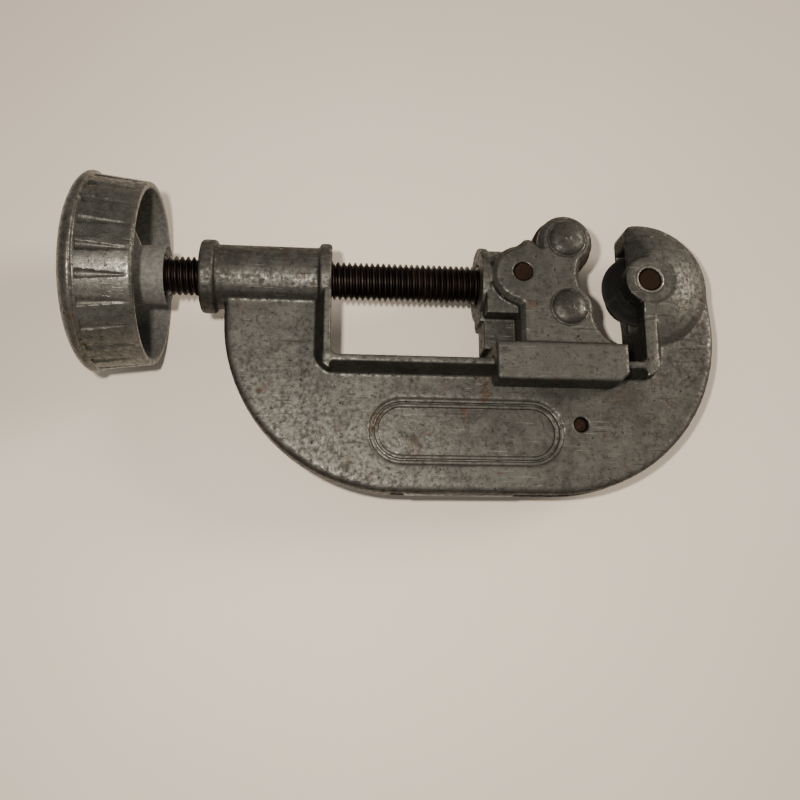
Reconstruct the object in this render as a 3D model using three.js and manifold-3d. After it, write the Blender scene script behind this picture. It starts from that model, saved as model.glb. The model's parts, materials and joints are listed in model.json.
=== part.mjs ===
// A screw-feed tubing cutter: C-frame, sliding roller carriage, cutter wheel and fold-in reamer.
// Millimetres. The tool is drawn in its own axes and then laid down on the floor, z = 0:
// X runs along the feed screw from the knob to the cutter wheel, Y from the spine to the jaws,
// and Z towards the side that faces up. The tool's origin is where the screw leaves the barrel.
import * as THREE from 'three';
import { mergeVertices } from 'three/addons/utils/BufferGeometryUtils.js';
import Module from 'manifold-3d';

const wasm = await Module();
wasm.setup();

// ---------- driving dimensions ----------
const gap = 0.3; // between cast pieces that slide on each other
const pinGap = 0.12; // radial, between a pin and its hole
const segments = 32; // around a full circle
const through = 14; // a cut that reaches this far each way goes right through any piece

const screw = {
  radius: 4.76, neckRadius: 2.9, knobEnd: -56, shoulder: 39.1, tip: 43.6,
  clipRadius: 2.3, clipLow: 41.7, clipHigh: 42.9,
};
const barrel = { length: 31.7, radius: 8.0, beadRadius: 9.1, rearBead: 3.7, frontBead: 3.0 };
const knob = {
  back: -60.6, flange: -57.4, floor: -57.2, rim: -43.5, hubEnd: -40.6,
  flangeRadius: 24.3, gripRadius: 23.5, rimRadius: 22.1, wall: 1.6, hubRadius: 7.15,
  grooves: 24, grooveDepth: 1,
};
const spine = { halfThickness: 4, edgeRound: 1.7, cornerRadius: 42, bottom: -53.2, left: -25.7, right: 96.2 };
const throat = { bottom: -21.2, right: 76.6, leftCorner: 2, rightCorner: 1.5 };
const rail = { halfWidth: 8, lip: 1.7, pillarLip: 3.2, chamfer: 2.1 };
const head = { halfWidth: 8.3, radius: 17, crest: 8.6, lobeRadius: 6.1, noseSlope: 70.6 };
const wheel = { x: 78.7, radius: 9.7, halfWidth: 2.6, pinRadius: 2.8, slotHalfWidth: 3.1, slotRadius: 10.7 };
const cheek = { halfWidth: 10.5, inside: 6.6, left: 45.3, right: 70.2, edge: 1.3 };
const roller = { x: 57.3, y: 8.8, radius: 7.4, halfLength: 6.3, pinRadius: 2.4, headRadius: 4.75, dome: 1.4 };
const thrustPin = { x: 46.2, radius: 2.25, lobeRadius: 7.6 };
const socket = {
  left: 36.5, wall: 41.4, right: 46, radius: 8.8, blockBottom: -10.1,
  beadRadius: 9.4, beadWidth: 2, beadBottom: -10.8, webHalf: 4,
};
const skirt = { left: 38.9, right: 70.8, top: -18, bottom: -27.5, halfWidth: 12 };
const saddleTop = -16.6;
const panel = { x: 32.9, y: -38.6, halfLength: 23.6, halfHeight: 8.1, depth: 0.5 };
const reamer = { x: 60.7, y: -36.3, pinRadius: 1.7, tipX: 17, heel: 44, bossRadius: 5, halfThickness: 0.95 };
const reamerSlot = { halfWidth: 1.5, clearance: 0.8 };

// ---------- materials ----------
const castMetal = () => new THREE.MeshStandardMaterial({ color: 0x8c8b85, roughness: 0.5, metalness: 0.8 });
const blackSteel = () => new THREE.MeshStandardMaterial({ color: 0x2b2724, roughness: 0.45, metalness: 0.8 });
const rustySteel = () => new THREE.MeshStandardMaterial({ color: 0x5a4638, roughness: 0.7, metalness: 0.5 });
const brightSteel = () => new THREE.MeshStandardMaterial({ color: 0x8f8e8a, roughness: 0.4, metalness: 0.9 });

// ---------- solid helpers ----------
const degrees = Math.PI / 180;

function toSolid(geometry) {
  const bare = geometry.clone();
  bare.deleteAttribute('normal');
  bare.deleteAttribute('uv');
  const merged = mergeVertices(bare, 1e-4);
  const mesh = new wasm.Mesh({
    numProp: 3,
    vertProperties: new Float32Array(merged.attributes.position.array),
    triVerts: new Uint32Array(merged.index.array),
  });
  return new wasm.Manifold(mesh);
}

function toMesh(name, solid, material) {
  const mesh = solid.getMesh();
  const geometry = new THREE.BufferGeometry();
  geometry.setAttribute('position', new THREE.BufferAttribute(new Float32Array(mesh.vertProperties), 3));
  geometry.setIndex(new THREE.BufferAttribute(new Uint32Array(mesh.triVerts), 1));
  const flat = geometry.toNonIndexed();
  flat.computeVertexNormals();
  const result = new THREE.Mesh(flat, material);
  result.name = name;
  return result;
}

// A profile is a list of [radius, place along the axis], listed from the low end to the high one.
function latheZ(profile, steps = segments) {
  const points = profile.map(([radius, along]) => new THREE.Vector2(radius, along));
  return toSolid(new THREE.LatheGeometry(points, steps).rotateX(Math.PI / 2));
}

function latheX(profile, steps = segments) {
  const points = profile.map(([radius, along]) => new THREE.Vector2(radius, along));
  return toSolid(new THREE.LatheGeometry(points, steps).rotateZ(-Math.PI / 2));
}

function diskZ(x, y, radius, low, high, steps = segments) {
  return latheZ([[0, low], [radius, low], [radius, high], [0, high]], steps).translate([x, y, 0]);
}

function diskX(radius, low, high, steps = segments) {
  return latheX([[0, low], [radius, low], [radius, high], [0, high]], steps);
}

function box(low, high) {
  const size = high.map((value, axis) => value - low[axis]);
  const geometry = new THREE.BoxGeometry(...size);
  geometry.translate(...low.map((value, axis) => value + size[axis] / 2));
  return toSolid(geometry);
}

// An outline as plain corners: doubled points go, and small arcs keep only a few of theirs.
function corners(shape, curveSegments) {
  const spacing = 0.45;
  const kept = [];
  for (const point of shape.getPoints(curveSegments)) {
    const clear = kept.every((other) => point.distanceTo(other) > spacing);
    if (clear) {
      kept.push(point);
    }
  }
  return new THREE.Shape(kept);
}

// A plate between two heights, or one with a rounded edge on both faces.
function plate(shape, low, high, curveSegments = 10) {
  const outline = corners(shape, curveSegments);
  const geometry = new THREE.ExtrudeGeometry(outline, { depth: high - low, bevelEnabled: false });
  return toSolid(geometry.translate(0, 0, low));
}

function roundedPlate(shape, halfThickness, edge, steps = 3, curveSegments = 10) {
  const geometry = new THREE.ExtrudeGeometry(corners(shape, curveSegments), {
    depth: 2 * (halfThickness - edge),
    bevelThickness: edge,
    bevelSize: edge,
    bevelOffset: -edge,
    bevelSegments: steps,
  });
  return toSolid(geometry.translate(0, 0, edge - halfThickness));
}

// Prisms along X and Y from a section: [place across Z, height along Y], or [place along X, across Z].
function prismX(section, low, high) {
  const geometry = new THREE.ExtrudeGeometry(polygon(section), { depth: high - low, bevelEnabled: false });
  return toSolid(geometry.rotateY(Math.PI / 2).translate(low, 0, 0));
}

function prismY(section, low, high) {
  const geometry = new THREE.ExtrudeGeometry(polygon(section), { depth: high - low, bevelEnabled: false });
  return toSolid(geometry.rotateX(-Math.PI / 2).translate(0, low, 0));
}

// A section that is wide at the flange's top and narrows to the web: half of it, then its mirror.
function rootSection(top, lip, chamfer) {
  const wide = rail.halfWidth - 0.2;
  return [
    [wide, top], [wide, lip], [spine.halfThickness, chamfer],
    [-spine.halfThickness, chamfer], [-wide, lip], [-wide, top],
  ];
}

function joined(solids) {
  return solids.reduce((whole, solid) => whole.add(solid));
}

function polygon(points) {
  return new THREE.Shape(points.map(([x, y]) => new THREE.Vector2(x, y)));
}

function stadium(halfLength, halfHeight) {
  const shape = new THREE.Shape();
  const centre = halfLength - halfHeight;
  shape.absarc(centre, 0, halfHeight, -Math.PI / 2, Math.PI / 2, false);
  shape.absarc(-centre, 0, halfHeight, Math.PI / 2, 1.5 * Math.PI, false);
  return shape;
}

// ---------- frame ----------
// The whole casting seen from the side: spine, hook head and the edge of the throat.
function frameOutline() {
  const { left, right, bottom, cornerRadius } = spine;
  const cornerY = bottom + cornerRadius;
  const nose = { x: 77.4, y: 13.7, radius: 2.9 };
  const lobeEnd = Math.PI + Math.acos((wheel.x - throat.right) / head.lobeRadius);
  const shape = new THREE.Shape();
  shape.moveTo(left, -5);
  shape.lineTo(left, cornerY);
  shape.absarc(left + cornerRadius, cornerY, cornerRadius, Math.PI, 1.5 * Math.PI, false);
  shape.absarc(right - cornerRadius, cornerY, cornerRadius, -Math.PI / 2, 0, false);
  shape.absarc(wheel.x, 0, head.radius, -5 * degrees, 95 * degrees, false);
  shape.absarc(nose.x, nose.y, nose.radius, 100 * degrees, 180 * degrees, false);
  shape.absarc(wheel.x, 0, head.lobeRadius, 132 * degrees, lobeEnd, false);
  shape.lineTo(throat.right, throat.bottom + throat.rightCorner);
  shape.absarc(throat.right - throat.rightCorner, throat.bottom + throat.rightCorner,
    throat.rightCorner, 0, -Math.PI / 2, true);
  shape.lineTo(throat.leftCorner, throat.bottom);
  shape.absarc(throat.leftCorner, throat.bottom + throat.leftCorner,
    throat.leftCorner, -Math.PI / 2, Math.PI, true);
  shape.lineTo(0, -5);
  return shape;
}

// The chamfered root that carries the flange, along each side of the throat.
function flangeRoot(outline) {
  const { lip, pillarLip, chamfer } = rail;
  const low = throat.bottom - lip - chamfer;
  const pillar = throat.right + pillarLip;
  const turned = (section) => section.map(([z, x]) => [x, z]);
  const roots = joined([
    prismX(rootSection(throat.bottom, throat.bottom - lip, low), -lip, pillar),
    prismY(turned(rootSection(0, -lip, -lip - chamfer)), low, -5),
    prismY(turned(rootSection(throat.right, pillar, pillar + chamfer)), low, -9),
  ]);
  const reach = throatBand(lip + chamfer, pillarLip + chamfer);
  return roots
    .intersect(plate(outline, -rail.halfWidth, rail.halfWidth))
    .intersect(plate(reach, -rail.halfWidth, rail.halfWidth));
}

// A U-shaped band along the throat's edge: the rail flange.
function throatBand(width, pillarWidth) {
  const shape = new THREE.Shape();
  const lowY = throat.bottom - width;
  const pillarTop = -7;
  shape.moveTo(0, -5);
  shape.lineTo(-width, -5);
  shape.absarc(throat.leftCorner, throat.bottom + throat.leftCorner,
    throat.leftCorner + width, Math.PI, 1.5 * Math.PI, false);
  shape.lineTo(throat.right - throat.rightCorner, lowY);
  shape.quadraticCurveTo(throat.right + pillarWidth, lowY, throat.right + pillarWidth, -14);
  shape.lineTo(throat.right + pillarWidth, pillarTop);
  shape.lineTo(throat.right, pillarTop);
  shape.lineTo(throat.right, throat.bottom + throat.rightCorner);
  shape.absarc(throat.right - throat.rightCorner, throat.bottom + throat.rightCorner,
    throat.rightCorner, 0, -Math.PI / 2, true);
  shape.absarc(throat.leftCorner, throat.bottom + throat.leftCorner,
    throat.leftCorner, -Math.PI / 2, Math.PI, true);
  return shape;
}

// The bulging hook head is highest round the pin's lobe and falls away like a shallow cone.
function headDome() {
  const { crest, lobeRadius } = head;
  const side = [
    [lobeRadius + 0.6, crest], [9, crest - 0.6], [12, crest - 1.7], [14.5, crest - 3],
    [16.3, crest - 4.4], [17.1, crest - 6], [17.4, 0],
  ];
  const low = side.map(([radius, z]) => [radius, -z]);
  const profile = [[0, -crest], ...low, ...side.reverse().slice(1), [0, crest]];
  const dome = latheZ(profile, 48).translate([wheel.x, 0, 0]);
  return dome.subtract(noseChamfer()).subtract(noseChamfer().mirror([0, 0, 1]));
}

// Takes the nose's near edge off at 45 degrees on the jaw's side.
function noseChamfer() {
  const low = head.noseSlope;
  const section = [[low + 2.6, 2.6], [low + 12, 12], [low, 12], [low - 6, 2.6]];
  const wedge = new THREE.ExtrudeGeometry(polygon(section), { depth: 30, bevelEnabled: false });
  return toSolid(wedge.rotateX(Math.PI / 2).translate(0, 30, 0));
}

function barrelSolid() {
  const { length, radius, beadRadius, rearBead, frontBead } = barrel;
  const bead = (low, high) => [
    [radius, low], [beadRadius - 0.3, low], [beadRadius, low + 0.6],
    [beadRadius, high - 0.6], [beadRadius - 0.3, high], [radius, high],
  ];
  return latheX([
    [0, -length], ...bead(-length, rearBead - length), ...bead(-frontBead, 0), [0, 0],
  ]);
}

// The slot in the spine lets the blade swing from folded to open, so all below it is open.
function reamerSlotSolid() {
  const { x, y, tipX, bossRadius } = reamer;
  const { halfWidth, clearance } = reamerSlot;
  const radius = bossRadius + clearance;
  const below = spine.bottom - 8;
  const shape = new THREE.Shape();
  shape.moveTo(tipX - 2, below);
  shape.lineTo(tipX - 2, spine.bottom + 2.6);
  shape.absarc(x, y, radius, 108 * degrees, 50 * degrees, true);
  shape.lineTo(spine.right + 4, y - 3);
  shape.lineTo(spine.right + 4, below);
  return plate(shape, -halfWidth, halfWidth);
}

function wheelSlotSolid() {
  const { x, slotRadius, slotHalfWidth } = wheel;
  const round = diskZ(x, 0, slotRadius, -slotHalfWidth, slotHalfWidth);
  const mouth = box([x - 14, -slotRadius, -slotHalfWidth], [x, slotRadius, slotHalfWidth]);
  return round.add(mouth);
}

// The hole for the wheel's pin is countersunk on the upper side.
function wheelPinHole() {
  const bore = wheel.pinRadius + pinGap;
  const face = head.halfWidth;
  const sink = 0.7;
  return latheZ([
    [0, -through], [bore, -through], [bore, face - sink], [bore + sink, face],
    [bore + sink, through], [0, through],
  ]).translate([wheel.x, 0, 0]);
}

function badgeRecesses() {
  const shape = stadium(panel.halfLength, panel.halfHeight);
  const { halfThickness } = spine;
  const near = plate(shape, halfThickness - panel.depth, halfThickness + 1, 6);
  const far = plate(shape, -halfThickness - 1, panel.depth - halfThickness, 6);
  return near.add(far).translate([panel.x, panel.y, 0]);
}

function frameSolid() {
  const outline = frameOutline();
  const { lobeRadius, halfWidth } = head;
  const lobe = diskZ(wheel.x, 0, lobeRadius, -halfWidth, halfWidth);
  const lobeRoom = diskZ(wheel.x, 0, lobeRadius + 0.2, halfWidth - 0.3, halfWidth + 1);
  const dome = headDome().subtract(lobeRoom).subtract(lobeRoom.mirror([0, 0, 1]));
  const body = joined([
    roundedPlate(outline, spine.halfThickness, spine.edgeRound),
    plate(outline, -head.crest, head.crest).intersect(dome),
    plate(throatBand(rail.lip, rail.pillarLip), -rail.halfWidth, rail.halfWidth),
    flangeRoot(outline),
    lobe,
    barrelSolid(),
  ]);
  return body
    .subtract(diskX(screw.radius + gap, -barrel.length - 1, 1))
    .subtract(wheelSlotSolid())
    .subtract(wheelPinHole())
    .subtract(diskZ(reamer.x, reamer.y, reamer.pinRadius + pinGap, -through, through, 24))
    .subtract(reamerSlotSolid())
    .subtract(badgeRecesses());
}

// ---------- feed screw and knob ----------
function screwSolid() {
  const { radius, neckRadius, knobEnd, shoulder, tip, clipRadius, clipLow, clipHigh } = screw;
  return latheX([
    [0, knobEnd], [radius - 0.7, knobEnd], [radius, knobEnd + 0.7],
    [radius, shoulder - 0.7], [radius - 0.7, shoulder], [neckRadius, shoulder],
    [neckRadius, clipLow], [clipRadius, clipLow], [clipRadius, clipHigh], [neckRadius, clipHigh],
    [neckRadius, tip - 0.4], [neckRadius - 1, tip], [0, tip],
  ]);
}

// An open snap ring that sits in the groove of the screw's neck.
function clipSolid() {
  const low = screw.clipLow + 0.1;
  const high = screw.clipHigh - 0.1;
  const outside = 4.9;
  const bore = screw.clipRadius + 0.15;
  const openingHalf = 1.7;
  const ring = diskX(outside, low, high, 28).subtract(diskX(bore, low - 1, high + 1, 28));
  const opening = box([low - 1, 0, -openingHalf], [high + 1, outside + 1, openingHalf]);
  return ring.subtract(opening);
}

function knobSolid() {
  const { back, flange, floor, rim, hubEnd, flangeRadius, gripRadius, rimRadius, wall, hubRadius } = knob;
  const cup = latheX([
    [0, back], [flangeRadius - 6.5, back], [flangeRadius - 3.2, back + 0.7], [flangeRadius - 1, back + 2],
    [flangeRadius, flange], [flangeRadius, flange + 1.2], [gripRadius, flange + 2.2],
    [rimRadius, rim], [rimRadius - wall, rim], [gripRadius - wall - 1, floor + 1.4],
    [gripRadius - wall - 2.6, floor], [hubRadius + 1.4, floor], [hubRadius, floor + 1.6],
    [hubRadius, hubEnd + 0.8], [hubRadius - 0.8, hubEnd], [0, hubEnd],
  ], 48);
  const grooveLength = rim - flange - 2.6;
  const lean = Math.atan((gripRadius - rimRadius) / (rim - flange));
  const groove = toSolid(
    new THREE.ConeGeometry(knob.grooveDepth, grooveLength, 6)
      .rotateZ(-Math.PI / 2)
      .rotateY(lean)
      .translate(flange + 1.8 + grooveLength / 2, 0, (gripRadius + rimRadius) / 2 + 0.1),
  );
  let ribbed = cup;
  for (let i = 0; i < knob.grooves; i += 1) {
    ribbed = ribbed.subtract(groove.rotate([(i + 0.5) * 360 / knob.grooves, 0, 0]));
  }
  return ribbed.subtract(diskX(screw.radius + pinGap, screw.knobEnd - 0.3, hubEnd + 1));
}

// ---------- carriage ----------
function cheekOutline() {
  const { left, right } = cheek;
  const { top } = skirt;
  const waist = { x: 60.8, y: -3.2 };
  const foot = top - 4;
  const shape = new THREE.Shape();
  shape.moveTo(left, foot);
  shape.lineTo(left, -8.4);
  shape.absarc(thrustPin.x, -0.4, thrustPin.lobeRadius, 252 * degrees, 100 * degrees, true);
  shape.absarc(47.9, 7.1, 1.9, 150 * degrees, 60 * degrees, true);
  shape.absarc(roller.x, roller.y, 6.8, 195 * degrees, -58 * degrees, true);
  shape.quadraticCurveTo(waist.x - 1, 0.3, waist.x, waist.y);
  shape.absarc(roller.x, -roller.y, 6.6, 58 * degrees, -14 * degrees, true);
  shape.quadraticCurveTo(64.4, -15.6, right, top + 0.3);
  shape.lineTo(right, foot);
  return shape;
}

// The channel that the rail flange slides in, seen along the screw.
function railChannel() {
  const { halfWidth, lip, chamfer } = rail;
  const web = spine.halfThickness + gap;
  const half = [
    [web, skirt.bottom - 1],
    [web, throat.bottom - lip - chamfer - gap],
    [halfWidth + gap, throat.bottom - lip - 0.2],
    [halfWidth + gap, throat.bottom + gap],
  ];
  const mirrored = half.map(([z, y]) => [-z, y]).reverse();
  return prismX([...half, ...mirrored], skirt.left - 5, skirt.right + 5);
}

function socketSolid() {
  const { left, right, radius, blockBottom, beadRadius, beadWidth, beadBottom, webHalf } = socket;
  return joined([
    diskX(radius, left, right),
    diskX(beadRadius, left, left + beadWidth),
    box([left, beadBottom, -webHalf], [left + beadWidth, 0, webHalf]),
    box([left + 1, blockBottom, 0.4 - radius], [right, 0, radius - 0.4]),
    box([left + 1, skirt.top, -webHalf], [right, 0, webHalf]),
  ]);
}

function saddleSolid() {
  const { left, right, top, bottom, halfWidth } = skirt;
  const shape = polygon([
    [left, top], [left, bottom + 0.6], [left + 0.6, bottom],
    [right - 2.2, bottom], [right, bottom + 2.2], [right, top],
  ]);
  return roundedPlate(shape, halfWidth, 0.8, 2);
}

function carriageSolid() {
  const cheeks = roundedPlate(cheekOutline(), cheek.halfWidth, cheek.edge, 1);
  const deckLow = [cheek.left, skirt.top - 1, -cheek.halfWidth];
  const deckHigh = [cheek.right, saddleTop - 0.4, cheek.halfWidth];
  const deck = box(deckLow, deckHigh).intersect(cheeks);
  const rollerRoom = box([socket.right, saddleTop, -cheek.inside], [80, 20, cheek.inside]);
  const clipRoom = box([socket.wall, -6.2, -cheek.inside], [socket.right + 1, 6.2, cheek.inside]);
  const pinHole = (x, y, radius) => diskZ(x, y, radius + pinGap, -through, through);
  return joined([cheeks, saddleSolid(), socketSolid(), deck])
    .subtract(rollerRoom)
    .subtract(clipRoom)
    .subtract(railChannel())
    .subtract(diskX(screw.radius + gap, socket.left - 1, screw.shoulder + gap))
    .subtract(diskX(screw.neckRadius + gap, socket.left, socket.wall + 1))
    .subtract(pinHole(thrustPin.x, 0, thrustPin.radius))
    .subtract(pinHole(roller.x, roller.y, roller.pinRadius))
    .subtract(pinHole(roller.x, -roller.y, roller.pinRadius));
}

function rollerSolid() {
  const { radius, halfLength, pinRadius } = roller;
  const bore = pinRadius + pinGap;
  const groove = { halfWidth: 1.3, depth: 1.1 };
  return latheZ([
    [bore, -halfLength], [radius - 0.5, -halfLength], [radius, 0.5 - halfLength],
    [radius, -groove.halfWidth], [radius - groove.depth, -groove.halfWidth + 0.5],
    [radius - groove.depth, groove.halfWidth - 0.5], [radius, groove.halfWidth],
    [radius, halfLength - 0.5], [radius - 0.5, halfLength], [bore, halfLength], [bore, -halfLength],
  ], 36);
}

// A rivet with a domed head on the upper side and a low formed head below.
function rivetSolid() {
  const { pinRadius, headRadius, dome } = roller;
  const seat = cheek.halfWidth + 0.1;
  const profile = [
    [0, -seat - 0.9], [3.2, -seat - 0.9], [3.7, -seat - 0.4], [3.7, -seat], [pinRadius, -seat],
    [pinRadius, seat], [headRadius, seat],
  ];
  const steps = 4;
  for (let i = 0; i < steps; i += 1) {
    const angle = (i / steps) * 90 * degrees;
    profile.push([headRadius * Math.cos(angle), seat + 0.3 + (dome - 0.3) * Math.sin(angle)]);
  }
  profile.push([0, seat + dome]);
  return latheZ(profile, 24);
}

function plainPinSolid(radius, halfLength) {
  const edge = 0.25;
  return latheZ([
    [0, -halfLength], [radius - edge, -halfLength], [radius, edge - halfLength],
    [radius, halfLength - edge], [radius - edge, halfLength], [0, halfLength],
  ], 24);
}

// ---------- cutter wheel ----------
function cutterWheelSolid() {
  const { radius, halfWidth, pinRadius } = wheel;
  const bore = pinRadius + pinGap;
  const side = [[bore, halfWidth], [4.9, halfWidth], [5.3, 1.9], [7.4, 1.5], [7.7, 1.1]];
  const low = side.map(([r, z]) => [r, -z]);
  return latheZ([...low, [radius, 0], ...side.reverse(), [bore, -halfWidth]], 40);
}

// The wheel's pin goes in from the lower side, where it has a slotted head.
function wheelPinSolid() {
  const { pinRadius } = wheel;
  const seat = head.halfWidth + 0.1;
  const pin = latheZ([
    [0, -seat - 1.5], [4.1, -seat - 1.5], [4.6, -seat - 1], [4.6, -seat], [pinRadius, -seat],
    [pinRadius, head.halfWidth - 0.5], [pinRadius - 0.3, head.halfWidth - 0.2], [0, head.halfWidth - 0.2],
  ], 32);
  return pin.subtract(box([-6, -0.5, -seat - 2], [6, 0.5, -seat - 0.7]));
}

// ---------- reamer ----------
function reamerBladeSolid() {
  const { x, y, tipX, heel, bossRadius, halfThickness, pinRadius } = reamer;
  const edgeY = spine.bottom - 0.2;
  const shape = new THREE.Shape();
  shape.moveTo(tipX, edgeY + 2.2);
  shape.lineTo(tipX + 1.2, edgeY);
  shape.lineTo(heel, edgeY);
  shape.absarc(x, y, bossRadius, -48 * degrees, 106 * degrees, false);
  const blade = plate(shape, -halfThickness, halfThickness, 12).translate([0, 0, -0.25]);
  return blade.subtract(diskZ(x, y, pinRadius + pinGap, -through, through, 24));
}

function reamerPinSolid() {
  const { pinRadius } = reamer;
  return plainPinSolid(pinRadius, spine.halfThickness - 0.3);
}

// A dished spring washer between the blade and the slot's upper wall.
function reamerWasherSolid() {
  const bore = reamer.pinRadius + pinGap;
  return latheZ([[bore, 0.95], [3.6, 0.8], [3.6, 1.1], [bore, 1.3], [bore, 0.95]], 24);
}

// ---------- assembly ----------
const tool = new THREE.Group();

function place(name, solid, material, x = 0, y = 0) {
  const mesh = toMesh(name, solid, material());
  mesh.position.set(x, y, 0);
  tool.add(mesh);
}

place('frame', frameSolid(), castMetal);
place('cutter_wheel', cutterWheelSolid(), blackSteel, wheel.x);
place('wheel_pin', wheelPinSolid(), rustySteel, wheel.x);
place('feed_screw', screwSolid(), blackSteel);
place('screw_clip', clipSolid(), brightSteel);
place('knob', knobSolid(), castMetal);
place('carriage', carriageSolid(), castMetal);
place('thrust_pin', plainPinSolid(thrustPin.radius, cheek.halfWidth - 0.2), rustySteel, thrustPin.x);
for (const [name, side] of [['upper', 1], ['lower', -1]]) {
  place(`${name}_roller`, rollerSolid(), blackSteel, roller.x, side * roller.y);
  place(`${name}_roller_rivet`, rivetSolid(), brightSteel, roller.x, side * roller.y);
}
place('reamer_blade', reamerBladeSolid(), brightSteel);
place('reamer_pin', reamerPinSolid(), rustySteel, reamer.x, reamer.y);
place('reamer_washer', reamerWasherSolid(), brightSteel, reamer.x, reamer.y);

// The tool lies on the knob's flange and on the lower skirt's far corner, so the screw slopes down.
const skirtReach = skirt.right - knob.flange;
const tilt = Math.asin((knob.flangeRadius - skirt.halfWidth) / skirtReach);
tool.rotation.y = tilt;

const bounds = new THREE.Box3().setFromObject(tool, true);
const centre = bounds.getCenter(new THREE.Vector3());
tool.position.set(-centre.x, -centre.y, -bounds.min.z);

const part = new THREE.Group();
part.add(tool);

export default part;
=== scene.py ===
"""Looks of the screw-feed tubing cutter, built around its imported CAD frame.

Shapes are given in millimetres in the tool's own axes: X along the feed screw from the knob to the
cutter wheel, Y from the spine to the jaws, Z towards the side that faces up, with the origin on
the screw's axis at the barrel's front face. Objects are in metres in the frame's row axes.
"""
import json
import math

import bmesh
import bpy
from mathutils import Euler, Matrix, Vector


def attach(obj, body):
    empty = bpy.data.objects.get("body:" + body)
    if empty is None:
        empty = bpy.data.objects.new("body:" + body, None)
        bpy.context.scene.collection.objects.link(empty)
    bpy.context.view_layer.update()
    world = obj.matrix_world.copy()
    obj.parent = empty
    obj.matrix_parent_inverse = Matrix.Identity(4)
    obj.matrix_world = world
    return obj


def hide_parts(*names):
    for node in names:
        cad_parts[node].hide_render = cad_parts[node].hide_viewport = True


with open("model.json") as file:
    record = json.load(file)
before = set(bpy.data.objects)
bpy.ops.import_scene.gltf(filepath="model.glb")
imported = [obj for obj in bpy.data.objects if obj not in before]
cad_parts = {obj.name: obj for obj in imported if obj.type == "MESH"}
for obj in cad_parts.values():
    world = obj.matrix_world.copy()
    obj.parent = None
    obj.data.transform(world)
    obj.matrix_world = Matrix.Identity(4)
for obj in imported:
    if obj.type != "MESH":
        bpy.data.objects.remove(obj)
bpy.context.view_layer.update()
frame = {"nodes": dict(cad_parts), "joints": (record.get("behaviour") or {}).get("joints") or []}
MM = 0.001

# ---------- driving dimensions, in millimetres ----------
WEB_HALF = 4.0
KNOB = {
    "back": -60.6, "flange": -57.4, "groove_start": -55.4, "rim": -43.5,
    "floor": -57.2, "hub_end": -40.6, "flange_radius": 24.3, "grip_radius": 23.5,
    "rim_radius": 22.1, "wall": 1.6, "hub_radius": 7.15, "grooves": 24,
}
GUSSET = {"turn": -28, "half_width": 0.8, "inside": 6.6, "outside": 20.9, "low": 4.5, "high": 9.5}
SCREW = {
    "low": -56.0, "shoulder": 39.1, "tip": 43.6, "radius": 4.76, "pitch": 25.4 / 18, "neck": 2.9,
    "clip_radius": 2.3, "clip_low": 41.7, "clip_high": 42.9,
}
WHEEL = {"x": 78.7, "radius": 9.7, "bore": 2.92}
ROLLER = {"x": 57.3, "y": 8.8, "radius": 7.4, "half_length": 6.3, "bore": 2.52}
RIVET = {"seat": 10.6, "head_radius": 4.75, "low_head_radius": 3.6}
PIN_SEAT = {"inside": 2.95, "width": 0.65, "face": 8.3}
THRUST_PIN = {"x": 46.2, "y": 0, "radius": 2.25, "half_length": 10.45}
REAMER_PIN = {"x": 60.7, "y": -36.3, "radius": 1.7, "half_length": 3.3}
BADGE = {"x": 32.9, "y": -38.6, "half_length": 23.6, "half_height": 8.1, "depth": 0.5}
BEAD = {"half_width": 0.56, "height": 0.42, "root": -0.3, "insets": {"outer": 0.63, "inner": 1.88}}


# ---------- the tool's axes, from the frame ----------
def find_joint(name):
    return next(joint for joint in frame["joints"] if joint["name"] == name)


def tool_matrix():
    """The matrix that takes tool coordinates in metres to row coordinates."""
    along = Vector(find_joint("knob_turn")["axis"]).normalized()
    up = Vector(find_joint("wheel_spin")["axis"]).normalized()
    across = up.cross(along)
    matrix = Matrix((along, across, up)).transposed().to_4x4()
    matrix.translation = Vector(find_joint("knob_turn")["pos_m"])
    return matrix


TOOL = tool_matrix()


def tool_point(x, y, z):
    return TOOL @ Vector((x * MM, y * MM, z * MM))


# ---------- mesh helpers ----------
def new_object(name, verts, faces, body, material, replaces=None):
    """Makes a smooth-shaded piece from tool-millimetre vertices, and lets it ride on a body."""
    mesh = bpy.data.meshes.new(name)
    mesh.from_pydata([tool_point(*vert) for vert in verts], [], faces)
    mesh.update()
    obj = bpy.data.objects.new(name, mesh)
    bpy.context.scene.collection.objects.link(obj)
    finish_piece(obj, body, material, replaces)
    return obj


def finish_piece(obj, body, material, replaces=None, sharp_angle=40):
    """Gives a mesh outward normals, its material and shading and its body."""
    bm = bmesh.new()
    bm.from_mesh(obj.data)
    bmesh.ops.recalc_face_normals(bm, faces=bm.faces)
    bm.to_mesh(obj.data)
    bm.free()
    obj.data.materials.clear()
    obj.data.materials.append(material)
    obj.data.shade_smooth()
    obj.data.set_sharp_from_angle(angle=math.radians(sharp_angle))
    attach(obj, body)
    if replaces:
        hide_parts(replaces)


def apply_modifiers(obj):
    """Keeps what the modifiers make as the object's own mesh."""
    graph = bpy.context.evaluated_depsgraph_get()
    mesh = bpy.data.meshes.new_from_object(obj.evaluated_get(graph))
    obj.modifiers.clear()
    obj.data = mesh


def lathe(name, profile, centre, axis, body, material, steps=96, replaces=None):
    """A closed profile of (radius, place along) points turned about a line through centre."""
    verts = []
    for i in range(steps):
        angle = 2 * math.pi * i / steps
        for radius, along in profile:
            u = radius * math.cos(angle)
            v = radius * math.sin(angle)
            offset = (along, u, v) if axis == "X" else (u, v, along)
            verts.append([centre[k] + offset[k] for k in range(3)])
    faces = turned_faces(steps, len(profile))
    obj = new_object(name, verts, faces, body, material, replaces)
    weld(obj)
    return obj


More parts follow.
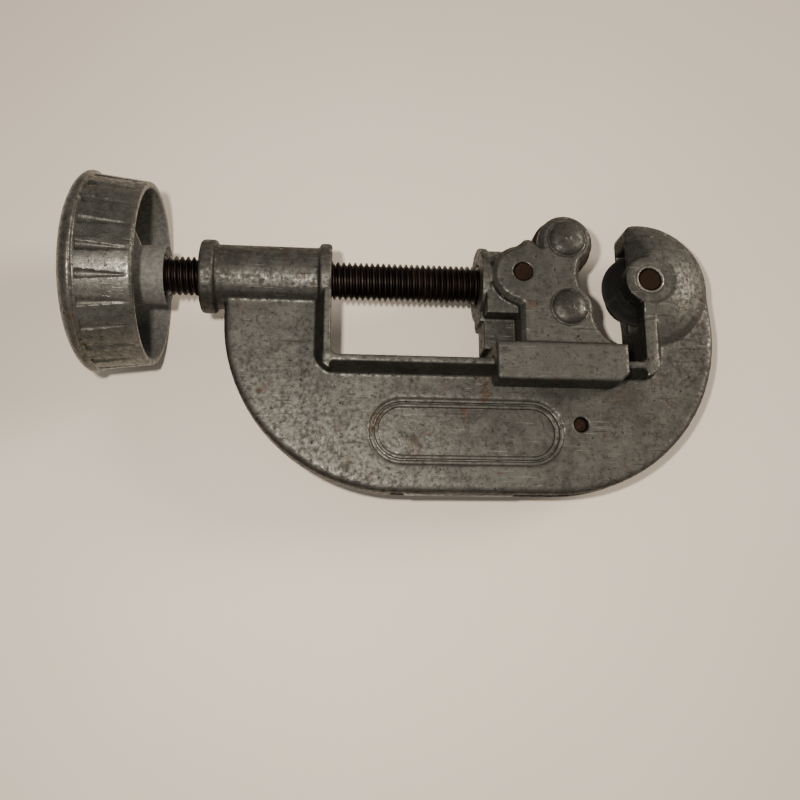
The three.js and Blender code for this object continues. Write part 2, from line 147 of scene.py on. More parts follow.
def turned_faces(columns, points):
    """Quads between the columns of points that a turned profile leaves, all the way round."""
    faces = []
    for i in range(columns):
        near = i * points
        far = ((i + 1) % columns) * points
        for j in range(points - 1):
            faces.append((near + j, near + j + 1, far + j + 1, far + j))
    return faces


def weld(obj, distance=1e-6):
    """Joins points that coincide, such as those of a lathe's poles."""
    bm = bmesh.new()
    bm.from_mesh(obj.data)
    bmesh.ops.remove_doubles(bm, verts=bm.verts, dist=distance)
    bmesh.ops.dissolve_degenerate(bm, edges=bm.edges, dist=distance)
    bmesh.ops.recalc_face_normals(bm, faces=bm.faces)
    bm.to_mesh(obj.data)
    bm.free()


def close_openings(obj):
    """Closes the open loops that a swept or ringed surface leaves at its ends."""
    bm = bmesh.new()
    bm.from_mesh(obj.data)
    bmesh.ops.holes_fill(bm, edges=[edge for edge in bm.edges if edge.is_boundary], sides=0)
    bmesh.ops.recalc_face_normals(bm, faces=bm.faces)
    bm.to_mesh(obj.data)
    bm.free()


def rounded(corners, radius=0.25, steps=3):
    """The same open profile with each inner corner cut into a small arc."""
    points = [Vector(corner) for corner in corners]
    result = [tuple(points[0])]
    for before, corner, after in zip(points, points[1:], points[2:]):
        back = min(radius, (before - corner).length * 0.45)
        ahead = min(radius, (after - corner).length * 0.45)
        start = corner + (before - corner).normalized() * back
        end = corner + (after - corner).normalized() * ahead
        for i in range(steps + 1):
            t = i / steps
            blend = start * (1 - t) ** 2 + corner * 2 * t * (1 - t) + end * t ** 2
            result.append(tuple(blend))
    result.append(tuple(points[-1]))
    return result


def cast_copy(node, name, body, material, voxel, passes):
    """A casting: the CAD node's shape with its edges and inner corners rounded off."""
    obj = bpy.data.objects.new(name, frame["nodes"][node].data.copy())
    bpy.context.scene.collection.objects.link(obj)
    remesh = obj.modifiers.new("skin", "REMESH")
    remesh.mode = "VOXEL"
    remesh.voxel_size = voxel * MM
    smooth = obj.modifiers.new("soften", "SMOOTH")
    smooth.factor = 0.5
    smooth.iterations = passes
    bpy.context.view_layer.update()
    apply_modifiers(obj)
    finish_piece(obj, body, material, node, sharp_angle=180)
    return obj


# ---------- material helpers ----------
class Nodes:
    """A short way to write a material's node tree."""

    def __init__(self, name):
        self.material = bpy.data.materials.new(name)
        self.material.use_nodes = True
        self.tree = self.material.node_tree
        self.shader = self.tree.nodes["Principled BSDF"]
        coordinates = self.add("ShaderNodeTexCoord")
        self.place = coordinates.outputs["Object"]
        self.normal = coordinates.outputs["Normal"]

    def add(self, kind, **settings):
        node = self.tree.nodes.new(kind)
        for key, value in settings.items():
            setattr(node, key, value)
        return node

    def link(self, source, target):
        if hasattr(source, "is_output"):
            self.tree.links.new(source, target)
        else:
            target.default_value = source

    def noise(self, scale, detail=4.0, rough=0.55, distortion=0.0, place=None, seed=0.0):
        node = self.add("ShaderNodeTexNoise", noise_dimensions="4D")
        self.link(place or self.place, node.inputs["Vector"])
        node.inputs["W"].default_value = seed
        node.inputs["Scale"].default_value = scale
        node.inputs["Detail"].default_value = detail
        node.inputs["Roughness"].default_value = rough
        node.inputs["Distortion"].default_value = distortion
        return node.outputs["Fac"]

    def ramp(self, value, low, high, start=0.0, end=1.0):
        node = self.add("ShaderNodeMapRange", interpolation_type="SMOOTHSTEP")
        self.link(value, node.inputs["Value"])
        node.inputs["From Min"].default_value = low
        node.inputs["From Max"].default_value = high
        node.inputs["To Min"].default_value = start
        node.inputs["To Max"].default_value = end
        return node.outputs["Result"]

    def math(self, operation, a, b=0.0):
        node = self.add("ShaderNodeMath", operation=operation)
        self.link(a, node.inputs[0])
        self.link(b, node.inputs[1])
        return node.outputs[0]

    def mix(self, factor, a, b, blend="MIX"):
        node = self.add("ShaderNodeMix", data_type="RGBA", blend_type=blend)
        self.link(factor, node.inputs["Factor"])
        self.link(a, node.inputs["A"])
        self.link(b, node.inputs["B"])
        return node.outputs["Result"]

    def stretched(self, turn, squeeze):
        """The object's own place, turned and squeezed, so that a noise on it becomes streaks."""
        node = self.add("ShaderNodeMapping")
        self.link(self.place, node.inputs["Vector"])
        node.inputs["Rotation"].default_value = [math.radians(angle) for angle in turn]
        node.inputs["Scale"].default_value = squeeze
        return node.outputs["Vector"]

    def bump(self, height, strength, distance, normal=None):
        node = self.add("ShaderNodeBump")
        self.link(height, node.inputs["Height"])
        node.inputs["Strength"].default_value = strength
        node.inputs["Distance"].default_value = distance * MM
        if normal is not None:
            self.link(normal, node.inputs["Normal"])
        return node.outputs["Normal"]


def color(r, g, b):
    return (r, g, b, 1.0)


# ---------- materials ----------
SCRATCH_RUNS = (
    ((0, 0, 24), (130, 2600, 130)),
    ((0, 0, -38), (110, 3100, 110)),
    ((0, 0, 62), (120, 2800, 120)),
)
DARK_RUN = ((0, 0, 12), (110, 1500, 110))
SOOT = color(0.02, 0.018, 0.015)
GREASE = color(0.02, 0.017, 0.013)
# Colour of the painted shade in hollow corners and creases.
CREASE_SHADE = color(0.018, 0.015, 0.012)
BROWN_STAIN = color(0.06, 0.034, 0.018)
BLACK_SPECK = color(0.008, 0.0065, 0.005)
# Colour of the painted shade on upright sides.
PAINTED_SIDE_SHADE = color(0.4, 0.385, 0.36)
# Paler colours that paint the light falling inside the knob's cup.
PAINTED_LIGHT_DARK = color(0.07, 0.069, 0.064)
PAINTED_LIGHT_PALE = color(0.11, 0.108, 0.1)
CAST_METALLIC = 0.7
DULL_METALLIC = 0.15


def scratch_lines(n, seed):
    """Thin straight lines in three directions, in patches."""
    scratches = None
    for turn, squeeze in SCRATCH_RUNS:
        streaks = n.noise(1.0, 2, 0.5, 0.3, n.stretched(turn, squeeze), seed + 17)
        lines = n.ramp(streaks, 0.66, 0.71)
        scratches = lines if scratches is None else n.math("MAXIMUM", scratches, lines)
    patchy = n.ramp(n.noise(70, 2, 0.5, 0, seed=seed + 19), 0.4, 0.58)
    return n.math("MULTIPLY", scratches, patchy)


def cast_layers(n, seed):
    """The noises and masks that a casting's colour, roughness and relief share."""
    broad = n.noise(60, 6, 0.6, 0.2, seed=seed)
    stain_place = n.ramp(n.noise(170, 5, 0.7, 0.4, seed=seed + 9), 0.57, 0.65)
    pointiness = n.add("ShaderNodeNewGeometry").outputs["Pointiness"]
    edge_break = n.ramp(n.noise(300, 4, 0.6, 0.5, seed=seed + 23), 0.38, 0.6)
    return {
        "broad": broad,
        "mottle": n.noise(330, 6, 0.62, 0.2, seed=seed + 3),
        "fine": n.noise(950, 5, 0.65, 0.1, seed=seed + 4),
        "grain": n.noise(2600, 3, 0.6, seed=seed + 5),
        "stain": n.math("MULTIPLY", stain_place, n.ramp(broad, 0.4, 0.6, 0.1, 0.85)),
        "speck": n.ramp(n.noise(1000, 3, 0.6, 0.3, seed=seed + 13), 0.625, 0.685, 0.0, 0.9),
        "scratches": scratch_lines(n, seed),
        "pointiness": pointiness,
        "edge": n.math("MULTIPLY", n.ramp(pointiness, 0.525, 0.57), edge_break),
    }


def away_from_top(n, most):
    """Zero where a face looks up or down in the tool's axes, and the most on its upright sides:
    where shade is painted on the sides.
    """
    facing = n.add("ShaderNodeVectorMath", operation="DOT_PRODUCT")
    n.link(n.normal, facing.inputs[0])
    facing.inputs[1].default_value = TOOL.to_3x3() @ Vector((0, 0, 1))
    return n.ramp(n.math("ABSOLUTE", facing.outputs["Value"]), 0.5, 0.985, most, 0.0)


def cast_color(n, layers, seed, pale, sides, crease_shade):
    """Mottled grey under grime, stains, specks, scratches and bright edges, with painted shade on
    the upright sides and in creases.
    """
    def shade(r, g, b):
        return color(r * pale, g * pale, b * pale)

    fine = layers["fine"]
    dark, grey = shade(0.085, 0.083, 0.073), shade(0.14, 0.136, 0.12)
    base = n.mix(n.ramp(layers["broad"], 0.35, 0.65), dark, grey)
    base = n.mix(n.ramp(layers["mottle"], 0.45, 0.62, 0.0, 0.5), base, shade(0.2, 0.195, 0.173))
    base = n.mix(n.ramp(fine, 0.5, 0.64, 0.0, 0.5), base, shade(0.235, 0.228, 0.203))
    base = n.mix(n.ramp(fine, 0.48, 0.36, 0.0, 0.65), base, shade(0.035, 0.033, 0.028))
    base = n.mix(n.ramp(layers["grain"], 0.5, 0.72, 0.0, 0.4), base, SOOT)
    grime = n.noise(48, 6, 0.7, 0.3, seed=seed + 7)
    base = n.mix(n.ramp(grime, 0.52, 0.66, 0.0, 0.7), base, shade(0.05, 0.046, 0.038))
    base = n.mix(layers["stain"], base, BROWN_STAIN)
    base = n.mix(layers["speck"], base, BLACK_SPECK)
    base = n.mix(n.math("MULTIPLY", layers["scratches"], 0.6), base, shade(0.36, 0.345, 0.31))
    dark_runs = n.noise(1.0, 3, 0.5, 0.4, n.stretched(*DARK_RUN), seed + 37)
    base = n.mix(n.ramp(dark_runs, 0.63, 0.7, 0.0, 0.7), base, GREASE)
    # Painted shade: the upright sides are darkened, as if less light fell on them.
    base = n.mix(away_from_top(n, sides), base, PAINTED_SIDE_SHADE, "MULTIPLY")
    # Painted shade: hollow corners and creases are darkened, as if less light reached them.
    base = n.mix(n.ramp(layers["pointiness"], 0.44, 0.495, crease_shade, 0.0), base, CREASE_SHADE)
    return n.mix(n.math("MULTIPLY", layers["edge"], 0.8), base, shade(0.42, 0.405, 0.37))


def cast_roughness(n, layers, polish):
    """Duller in stains and smoother on worn edges."""
    rough = n.ramp(layers["fine"], 0.38, 0.62, 0.64 - polish, 0.42 - polish)
    rough = n.math("ADD", rough, n.math("MULTIPLY", layers["stain"], 0.2))
    return n.math("SUBTRACT", rough, n.math("MULTIPLY", layers["edge"], 0.12))


def cast_relief(n, layers, seed, pebble):
    """Waves, mottle, grain, sunken specks and scratches, from the broad ones to the fine ones."""
    normal = n.bump(n.noise(220, 3, 0.5, seed=seed + 29), 0.6, 0.16)
    normal = n.bump(layers["mottle"], 0.35, 0.08, normal)
    normal = n.bump(layers["fine"], 0.4, 0.06, normal)
    normal = n.bump(n.noise(1300, 3, 0.6, seed=seed + 31), pebble, 0.09, normal)
    normal = n.bump(layers["grain"], 0.4, 0.04, normal)
    normal = n.bump(n.math("MULTIPLY", layers["speck"], -1.0), 0.5, 0.08, normal)
    return n.bump(n.math("MULTIPLY", layers["scratches"], -1.0), 0.35, 0.05, normal)


def cast_metal(name, seed, pale=1.0, polish=0.0, pebble=0.3, sides=0.7, crease_shade=0.92, dull_and_painted_light=None):
    """Worn grey die casting, made dull and painted paler where the given mask is one, standing in
    for the light that falls there.
    """
    n = Nodes(name)
    layers = cast_layers(n, seed)
    base = cast_color(n, layers, seed, pale, sides, crease_shade)
    rough = cast_roughness(n, layers, polish)
    n.shader.inputs["Metallic"].default_value = CAST_METALLIC
    if dull_and_painted_light:
        mask = dull_and_painted_light(n)
        # Painted light: inside the mask the colour is paler, as if lit, and the finish is dull.
        base = n.mix(mask, base, n.mix(n.ramp(layers["fine"], 0.4, 0.6), PAINTED_LIGHT_DARK, PAINTED_LIGHT_PALE))
        rough = n.math("MAXIMUM", rough, n.math("MULTIPLY", mask, 0.7))
        n.link(n.ramp(mask, 0.0, 1.0, CAST_METALLIC, DULL_METALLIC), n.shader.inputs["Metallic"])
    n.link(base, n.shader.inputs["Base Color"])
    n.link(rough, n.shader.inputs["Roughness"])
    n.link(cast_relief(n, layers, seed, pebble), n.shader.inputs["Normal"])
    return n.material


def inside_knob(n):
    """One inside the knob's cup, where its paler colour stands in for the light on the inner wall,
    and zero on its outside.
    """
    offset = n.add("ShaderNodeVectorMath", operation="SUBTRACT")
    n.link(n.place, offset.inputs[0])
    offset.inputs[1].default_value = TOOL.translation
    axis = TOOL.to_3x3() @ Vector((1, 0, 0))
    along = n.add("ShaderNodeVectorMath", operation="DOT_PRODUCT")
    across = n.add("ShaderNodeVectorMath", operation="CROSS_PRODUCT")
    for node in (along, across):
        n.link(offset.outputs["Vector"], node.inputs[0])
        node.inputs[1].default_value = axis
    radius = n.add("ShaderNodeVectorMath", operation="LENGTH")
    n.link(across.outputs["Vector"], radius.inputs[0])
    fade = 0.2 * MM
    wall = (KNOB["rim_radius"] - KNOB["wall"] + 0.7) * MM
    floor = (KNOB["floor"] - 0.6) * MM
    within = n.ramp(radius.outputs["Value"], wall - fade, wall, 1.0, 0.0)
    above = n.ramp(along.outputs["Value"], floor - fade, floor)
    return n.math("MULTIPLY", within, above)


def dark_steel(name, seed, base, rust, rust_amount, rough=0.42, metal=0.75):
    """Black oxide or oxidised steel with rust that gathers in patches."""
    n = Nodes(name)
    n.shader.inputs["Metallic"].default_value = metal
    n.shader.inputs["Specular IOR Level"].default_value = 0.18
    patches = n.noise(300, 5, 0.6, 0.7, seed=seed)
    fine = n.noise(2400, 3, 0.6, seed=seed + 2)
    mask = n.math("MULTIPLY", n.ramp(patches, 0.45, 0.7), rust_amount)
    mixed = n.mix(mask, color(*base), color(*rust))
    darker = color(*[channel * 0.35 for channel in base])
    worn = color(*[channel * 3.2 + 0.02 for channel in base])
    mixed = n.mix(n.ramp(fine, 0.5, 0.75, 0.0, 0.5), mixed, darker)
    pointiness = n.add("ShaderNodeNewGeometry").outputs["Pointiness"]
    mixed = n.mix(n.ramp(pointiness, 0.52, 0.6, 0.0, 0.5), mixed, worn)
    n.link(mixed, n.shader.inputs["Base Color"])
    n.link(n.ramp(patches, 0.3, 0.7, rough, rough + 0.28), n.shader.inputs["Roughness"])
    normal = n.bump(patches, 0.3, 0.06)
    n.link(n.bump(fine, 0.35, 0.03, normal), n.shader.inputs["Normal"])
    return n.material


FRAME_METAL = cast_metal("cast_frame", seed=1.0, pale=0.49, sides=0.95)
CARRIAGE_METAL = cast_metal("cast_carriage", seed=21.0, pale=0.46)
# The inside of the cup is painted paler to stand in for the light that falls in it.
KNOB_METAL = cast_metal(
    "cast_knob", seed=41.0, pale=0.54, polish=0.18, sides=0.0, crease_shade=0.3, dull_and_painted_light=inside_knob)
BADGE_METAL = cast_metal("cast_badge", seed=11.0, pale=0.42, pebble=0.9)
# Painted light: much paler than the knob, for the light that falls on the gusset inside the cup.
GUSSET_PAINTED_LIGHT_METAL = cast_metal("cast_gusset_painted_light", seed=51.0, pale=1.5, sides=0.0)
BURNISHED_METAL = cast_metal("cast_burnished", seed=71.0, pale=0.95, polish=0.1, sides=0.0)
RIVET_STEEL = cast_metal("rivet_steel", seed=61.0, pale=0.37, polish=0.04, sides=0.6)
BLADE_STEEL = cast_metal("blade_steel", seed=81.0, pale=1.1, polish=0.1)
SPRING_STEEL = cast_metal("spring_steel", seed=91.0, pale=0.8, polish=0.1)
SCREW_STEEL = dark_steel(
    "screw_steel", seed=3.0, base=(0.008, 0.0055, 0.0045), rust=(0.03, 0.014, 0.008),
    rust_amount=0.5, rough=0.3)
WHEEL_STEEL = dark_steel(
    "wheel_steel", seed=5.0, base=(0.003, 0.0026, 0.0024), rust=(0.006, 0.0045, 0.004),
    rust_amount=0.3, rough=0.6, metal=0.0)
ROLLER_STEEL = dark_steel(
    "roller_steel", seed=7.0, base=(0.02, 0.013, 0.008), rust=(0.05, 0.026, 0.013),
    rust_amount=0.6)
PIN_STEEL = dark_steel(
    "pin_steel", seed=9.0, base=(0.016, 0.009, 0.005), rust=(0.035, 0.017, 0.009),
    rust_amount=0.8, rough=0.55)


# ---------- castings ----------
def frame_casting():
    cast_copy("frame", "frame_casting", "frame", FRAME_METAL,
              voxel=0.28, passes=11)


def carriage_casting():
    cast_copy("carriage", "carriage_casting", "carriage", CARRIAGE_METAL,
              voxel=0.22, passes=12)


def stadium_path(half_length, half_height, steps=24):
    """Points and outward directions along a stadium, as (x, y, nx, ny), centred on zero."""
    points = []
    centre = half_length - half_height
    for side, start in ((1, -90), (-1, 90)):
        for i in range(steps + 1):
            angle = math.radians(start + 180 * i / steps)
            nx, ny = math.cos(angle), math.sin(angle)
            points.append((side * centre + half_height * nx, half_height * ny, nx, ny))
    return points


def badge_bead(name, inset, side):
    """A raised half-round bead that follows the badge's border."""
    path = stadium_path(BADGE["half_length"] - inset, BADGE["half_height"] - inset)
    half_width, root = BEAD["half_width"], BEAD["root"]
    arc_steps = 8
    section = [(half_width, root)]
    for i in range(arc_steps + 1):
        angle = math.pi * i / arc_steps
        section.append((half_width * math.cos(angle), BEAD["height"] * math.sin(angle)))
    section.append((-half_width, root))
    floor = WEB_HALF - BADGE["depth"]
    verts = []
    for x, y, nx, ny in path:
        for out, up in section:
            place = (BADGE["x"] + x + nx * out, BADGE["y"] + y + ny * out)
            verts.append((*place, side * (floor + up)))
    faces = ring_faces(len(path), len(section))
    new_object(name, verts, faces, "frame", FRAME_METAL)


def ring_faces(rings, points):
    """Quads between closed rings of points that follow each other round a closed path."""
    faces = []
    for i in range(rings):
        here, there = i * points, ((i + 1) % rings) * points
        for j in range(points):
            k = (j + 1) % points
            faces.append((here + j, here + k, there + k, there + j))
    return faces


def badge_floor(name, side):
    """The pebbled ground inside the badge's border, a little proud of the recess."""
    inset = 1.2
    path = stadium_path(BADGE["half_length"] - inset, BADGE["half_height"] - inset)
    floor = WEB_HALF - BADGE["depth"]
    rings = ((0.0, -0.2), (0.0, 0.02), (0.5, 0.05))
    verts = []
    for shrink, height in rings:
        for x, y, nx, ny in path:
            place = (BADGE["x"] + x - nx * shrink, BADGE["y"] + y - ny * shrink)
            verts.append((*place, side * (floor + height)))
    count = len(path)
    faces = []
    for ring in range(len(rings) - 1):
        low = ring * count
        high = low + count
        for j in range(count):
            k = (j + 1) % count
            faces.append((low + j, low + k, high + k, high + j))
    faces.append(tuple(range(high, high + count)))
    obj = new_object(name, verts, faces, "frame", BADGE_METAL)
    close_openings(obj)


def badge():
    """The same border and ground on the upper and the lower side of the web."""
    for side_name, side in (("near", 1), ("far", -1)):
        badge_floor(f"badge_floor_{side_name}", side)
        for bead_name, inset in BEAD["insets"].items():
            badge_bead(f"badge_{bead_name}_bead_{side_name}", inset, side)


# ---------- knob ----------
COLUMNS_PER_GROOVE = 24
GRIP_ROWS = 16


def groove_depth(x, angle, radius):
    """How deep a grip groove is at a place: a wedge, square at the flange and narrow at the rim."""
    start, end = KNOB["groove_start"], KNOB["rim"] - 1.3
    if x < start or x > end:
        return 0.0
    reach = (x - start) / (end - start)
    half_width = 1.1 - 0.85 * reach
    depth = 0.5 - 0.3 * reach
    pitch = 2 * math.pi / KNOB["grooves"]
    offset = ((angle / pitch) % 1 - 0.5) * pitch * radius
    inside = 1 - (offset / half_width) ** 2
    return depth * math.sqrt(inside) if inside > 0 else 0.0


def knob_profile():
    """(radius, x) round the cup's section, from the closed end's centre to the bore's end."""
    k = KNOB
    back = rounded((
        (0, k["back"]), (17.8, k["back"]), (21.1, k["back"] + 0.7), (23.3, k["back"] + 2),
        (k["flange_radius"], k["flange"]), (k["flange_radius"], k["flange"] + 1.1),
        (k["grip_radius"], k["flange"] + 1.5), (k["grip_radius"], k["groove_start"]),
    ), 0.7, 4)
    grip = []
    length = k["rim"] - 0.5 - k["groove_start"]
    for i in range(GRIP_ROWS + 1):
        x = k["groove_start"] + 0.05 + length * i / GRIP_ROWS
        share = (x - k["groove_start"]) / (k["rim"] - k["groove_start"])
        grip.append((k["grip_radius"] + (k["rim_radius"] - k["grip_radius"]) * share, x))
    inside = k["rim_radius"] - k["wall"]
    hub = k["hub_radius"]
    bore = SCREW["radius"] + 0.05
    bore_end = SCREW["low"] - 0.3
    cup = rounded((
        (k["rim_radius"], k["rim"] - 0.4), (k["rim_radius"] - 0.1, k["rim"]), (inside, k["rim"]),
        (inside + 0.4, k["floor"] + 1.4), (inside - 1, k["floor"]), (hub + 1.4, k["floor"]),
        (hub, k["floor"] + 1.6), (hub, k["hub_end"] + 0.8), (hub - 0.8, k["hub_end"]),
        (bore + 0.45, k["hub_end"]), (bore, k["hub_end"] - 0.7), (bore, bore_end), (0, bore_end),
    ), 0.45, 3)
    return back + grip + cup


def knob_cup():
    """The cup with its hub and bore, in one turn, with the grooves pressed into the grip."""
    profile = knob_profile()
    columns = KNOB["grooves"] * COLUMNS_PER_GROOVE
    verts = []
    for i in range(columns):
        angle = 2 * math.pi * i / columns
        for radius, x in profile:
            outside = radius > KNOB["rim_radius"] - 0.05
            reach = radius - (groove_depth(x, angle, radius) if outside else 0)
            verts.append((x, reach * math.cos(angle), reach * math.sin(angle)))
    faces = turned_faces(columns, len(profile))
    obj = new_object("knob_cup", verts, faces, "screw", KNOB_METAL, "knob")
    weld(obj)


def knob_gusset():
    """A thin gusset inside the cup, from the hub out to the wall, that slopes down to the wall; its
    pale material is painted light.
    """
    angle = math.radians(GUSSET["turn"])
    out = Vector((0, math.cos(angle), math.sin(angle)))
    side = Vector((0, -math.sin(angle), math.cos(angle)))
    inside, outside = GUSSET["inside"], GUSSET["outside"]
    root = KNOB["floor"] - 0.3
    low = KNOB["floor"] + GUSSET["low"]
    high = KNOB["floor"] + GUSSET["high"]
    outline = (
        (inside, root), (inside, high), (inside + 2.9, high), (outside, low), (outside, root))
    verts = []
    for half in (-GUSSET["half_width"], GUSSET["half_width"]):
        for radius, x in outline:
            verts.append(tuple(Vector((x, 0, 0)) + out * radius + side * half))
    count = len(outline)
    faces = [tuple(range(count)), tuple(range(2 * count - 1, count - 1, -1))]
    for j in range(count):
        k = (j + 1) % count
        faces.append((j, j + count, k + count, k))
    obj = new_object("knob_gusset", verts, faces, "screw", GUSSET_PAINTED_LIGHT_METAL)
    soften(obj, 0.35)


def soften(obj, width, segments=3):
    """Rounds off a plain piece's edges."""
    bevel = obj.modifiers.new("edges", "BEVEL")
    bevel.width = width * MM
    bevel.segments = segments
    bevel.limit_method = "ANGLE"
    apply_modifiers(obj)
    obj.data.shade_smooth()


# ---------- feed screw ----------
THREAD_STEPS = 40
THREAD_ROOT = SCREW["radius"] - 0.61 * SCREW["pitch"]


def thread_points(start, rows):
    """Rows of a 60 degree profile that step round the axis and along it together."""
    root, crest = THREAD_ROOT, SCREW["radius"]
    profile = ((0.0, root), (0.08, root), (0.42, crest), (0.58, crest), (0.92, root))
    verts = []
    for i in range(rows):
        angle = 2 * math.pi * i / THREAD_STEPS
        for part, radius in profile:
            along = start + SCREW["pitch"] * (i / THREAD_STEPS + part)
            verts.append((along, radius * math.cos(angle), radius * math.sin(angle)))
    return verts, len(profile)


def screw_thread():
    """A right-hand helix, in which each turn's last edge joins the next turn's first one."""
    pitch = SCREW["pitch"]
    turns = int((SCREW["shoulder"] - SCREW["low"]) / pitch) - 1
    start = SCREW["shoulder"] - 0.3 - (turns + 1) * pitch
    rows = THREAD_STEPS * turns + 1
    verts, count = thread_points(start, rows)
    faces = []
    for i in range(rows - 1):
        for j in range(count - 1):
            a = i * count + j
            faces.append((a, a + 1, a + 1 + count, a + count))
        if i + THREAD_STEPS + 1 < rows:
            a = i * count + count - 1
            b = (i + THREAD_STEPS) * count
            faces.append((a, b, b + count, a + count))
    obj = new_object(
        "feed_screw_thread", verts, faces, "screw", SCREW_STEEL, "feed_screw")
    close_openings(obj)


def screw_core():
    """The rod inside the thread, with the plain neck and the snap ring's groove at its tip."""
    low, shoulder, tip = SCREW["low"], SCREW["shoulder"], SCREW["tip"]
    clip_low, clip_high = SCREW["clip_low"], SCREW["clip_high"]
    neck, groove = SCREW["neck"], SCREW["clip_radius"]
    rod = THREAD_ROOT + 0.02
    profile = rounded((
        (0, low), (rod - 0.62, low), (rod, low + 0.6), (rod, shoulder), (neck, shoulder),
        (neck, clip_low), (groove, clip_low), (groove, clip_high), (neck, clip_high),
        (neck, tip - 0.7), (neck - 0.8, tip), (0, tip),
    ), 0.15)
    lathe("feed_screw_core", profile, (0, 0, 0), "X", "screw", SCREW_STEEL,
          replaces="feed_screw")


# ---------- cutter wheel, rollers and pins ----------
def both_sides(half):
    """A closed ring profile from its upper half, listed from the bore outwards."""
    low = [(radius, -z) for radius, z in half]
    return low + list(reversed(half)) + [low[0]]


def cutter_wheel():
    bore, radius = WHEEL["bore"], WHEEL["radius"]
    half = rounded((
        (bore, 2.55), (4.6, 2.55), (4.9, 2.1), (5.6, 1.95), (5.75, 1.65), (6.9, 1.6),
        (7.1, 1.35), (7.7, 1.25), (7.95, 0.95), (radius - 0.1, 0.06),
    ), 0.12, 2)
    lathe("cutter_wheel_disc", both_sides(half), (WHEEL["x"], 0, 0), "Z", "cutter_wheel",
          WHEEL_STEEL, steps=128, replaces="cutter_wheel")


def roller(name, y):
    """A plain roller with a thin score near each end and the flare's groove in its middle."""
    end, radius = ROLLER["half_length"], ROLLER["radius"]
    half = rounded((
        (ROLLER["bore"], end), (radius - 0.5, end), (radius, end - 0.5), (radius, 4.4),
        (radius - 0.12, 4.3), (radius - 0.12, 4.1), (radius, 4.0), (radius, 1.3),
        (radius - 1.1, 0.8),
    ), 0.12, 2)
    lathe(f"{name}_barrel", both_sides(half), (ROLLER["x"], y, 0), "Z", name,
          ROLLER_STEEL, replaces=name)


def rivet(name, y):
    """A rivet with a low dome, a rim and a small peak on its near head, and a flat far head."""
    seat, head, low_head = RIVET["seat"], RIVET["head_radius"], RIVET["low_head_radius"]
    shank = ROLLER["bore"] - 0.12
    profile = rounded((
        (0, -seat - 0.85), (low_head - 0.7, -seat - 0.9), (low_head, -seat - 0.45),
        (low_head, -seat + 0.1), (shank, -seat + 0.1), (shank, seat - 0.1), (head, seat - 0.1),
        (head, seat + 0.12), (head - 0.3, seat + 0.2), (head - 0.4, seat + 0.1),
        (head - 0.7, seat + 0.45), (head - 1.5, seat + 0.95), (head - 2.6, seat + 1.25),
        (0.75, seat + 1.34), (0.6, seat + 1.46), (0, seat + 1.42),
    ), 0.3, 3)
    lathe(f"{name}_staked", profile, (ROLLER["x"], y, 0), "Z", "carriage",
          RIVET_STEEL, replaces=name)


def plain_pin(node, pin, body):
    """A sheared pin: slightly dished ends with a burnished edge."""
    end, radius = pin["half_length"], pin["radius"]
    profile = rounded((
        (0, -end + 0.15), (radius - 0.5, -end), (radius, -end + 0.3), (radius, end - 0.3),
        (radius - 0.35, end), (radius - 0.9, end - 0.12), (0, end - 0.2),
    ), 0.15)
    lathe(f"{node}_sheared", profile, (pin["x"], pin["y"], 0), "Z", body,
          PIN_STEEL, steps=64, replaces=node)


def wheel_pin():
    cast_copy("wheel_pin", "wheel_pin_slotted", "frame", PIN_STEEL,
              voxel=0.12, passes=2)


def pin_seat():
    """The burnished ring that staking has left round the wheel pin's hole."""
    inside, face = PIN_SEAT["inside"], PIN_SEAT["face"]
    outside = inside + PIN_SEAT["width"]
    root = face - 0.6
    profile = rounded((
        (inside, root), (outside, root), (outside, face + 0.05), (outside - 0.25, face + 0.15),
        (inside + 0.15, face + 0.12), (inside, face - 0.05), (inside, root),
    ), 0.12, 2)
    lathe("wheel_pin_seat", profile, (WHEEL["x"], 0, 0), "Z", "frame",
          BURNISHED_METAL)


def reamer_blade():
    cast_copy("reamer_blade", "reamer_blade_ground", "reamer", BLADE_STEEL,
              voxel=0.17, passes=1)


def carried_over():
    """The snap ring and the spring washer keep their CAD meshes and get a material."""
    for node in ("screw_clip", "reamer_washer"):
        mesh = frame["nodes"][node].data
        mesh.materials.clear()
        mesh.materials.append(SPRING_STEEL)


# ---------- stage ----------
FLOOR_SIZE = 20.0
CAMERA = {"place": (1.2, -76.2, 188.5), "turn": (13.64, -4.87, 0.12), "lens": 36.05, "sensor": 36}
FLASH_PLACE = (-22, -60, 190)
FLASH = {"size": 0.01, "power": 0.55, "tint": (1.0, 0.93, 0.82)}
ROOM_PLACE = (1.6, 0.5, 0.84)
ROOM = {"size": 0.8, "power": 34.0, "tint": (1.0, 0.89, 0.74)}
SKY = {"tint": (1.0, 0.965, 0.92, 1), "strength": 0.35}


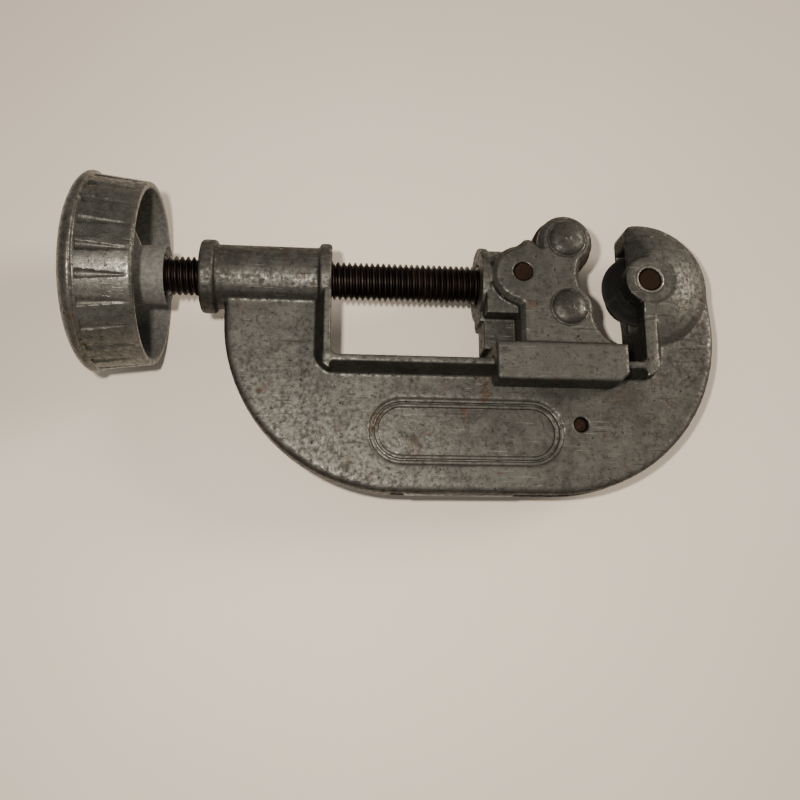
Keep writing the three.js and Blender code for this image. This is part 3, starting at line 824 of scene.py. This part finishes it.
def paper_floor():
    """Pale paper with a faint grain and slight waves."""
    n = Nodes("paper")
    n.shader.inputs["Roughness"].default_value = 0.9
    n.shader.inputs["Specular IOR Level"].default_value = 0.2
    broad = n.ramp(n.noise(3, 3, 0.5, seed=2), 0.3, 0.7)
    paper = n.mix(broad, color(0.67, 0.59, 0.5), color(0.73, 0.655, 0.565))
    n.link(paper, n.shader.inputs["Base Color"])
    waves = n.bump(n.noise(9, 3, 0.5, 0.4, seed=4), 0.5, 2.0)
    n.link(n.bump(n.noise(500, 4, 0.6, seed=6), 0.25, 0.08, waves), n.shader.inputs["Normal"])
    bpy.ops.mesh.primitive_plane_add(size=FLOOR_SIZE, location=(0, 0, 0))
    floor = bpy.context.object
    floor.name = "floor"
    floor.data.materials.append(n.material)


def camera():
    """Looks down on the tool's upper side from the spine's side, 13.6 degrees off square."""
    data = bpy.data.cameras.new("camera")
    data.sensor_width = CAMERA["sensor"]
    data.lens = CAMERA["lens"]
    data.clip_start = 0.01
    cam = bpy.data.objects.new("camera", data)
    bpy.context.scene.collection.objects.link(cam)
    place = tool_point(*CAMERA["place"])
    turn = Euler([math.radians(angle) for angle in CAMERA["turn"]])
    cam.matrix_world = Matrix.Translation(place) @ (TOOL.to_3x3() @ turn.to_matrix()).to_4x4()
    bpy.context.scene.camera = cam


def area_light(name, location, size, power, tint):
    """A round lamp that shines at the middle of the floor."""
    data = bpy.data.lights.new(name, "AREA")
    data.shape = "DISK"
    data.size = size
    data.energy = power
    data.color = tint
    lamp = bpy.data.objects.new(name, data)
    bpy.context.scene.collection.objects.link(lamp)
    lamp.location = location
    lamp.rotation_euler = (-Vector(location)).to_track_quat("-Z", "Y").to_euler()


def lights():
    """A small flash beside the camera, as on a phone, and soft light from the room."""
    area_light("flash", tool_point(*FLASH_PLACE), **FLASH)
    area_light("room", ROOM_PLACE, **ROOM)
    world = bpy.data.worlds.new("world")
    bpy.context.scene.world = world
    world.use_nodes = True
    background = world.node_tree.nodes["Background"]
    background.inputs["Color"].default_value = SKY["tint"]
    background.inputs["Strength"].default_value = SKY["strength"]


camera()
lights()
paper_floor()
frame_casting()
badge()
carriage_casting()
knob_cup()
knob_gusset()
screw_thread()
screw_core()
cutter_wheel()
wheel_pin()
pin_seat()
for roller_name, roller_y in (("upper_roller", ROLLER["y"]), ("lower_roller", -ROLLER["y"])):
    roller(roller_name, roller_y)
    rivet(f"{roller_name}_rivet", roller_y)
plain_pin("thrust_pin", THRUST_PIN, "carriage")
plain_pin("reamer_pin", REAMER_PIN, "frame")
reamer_blade()
carried_over()
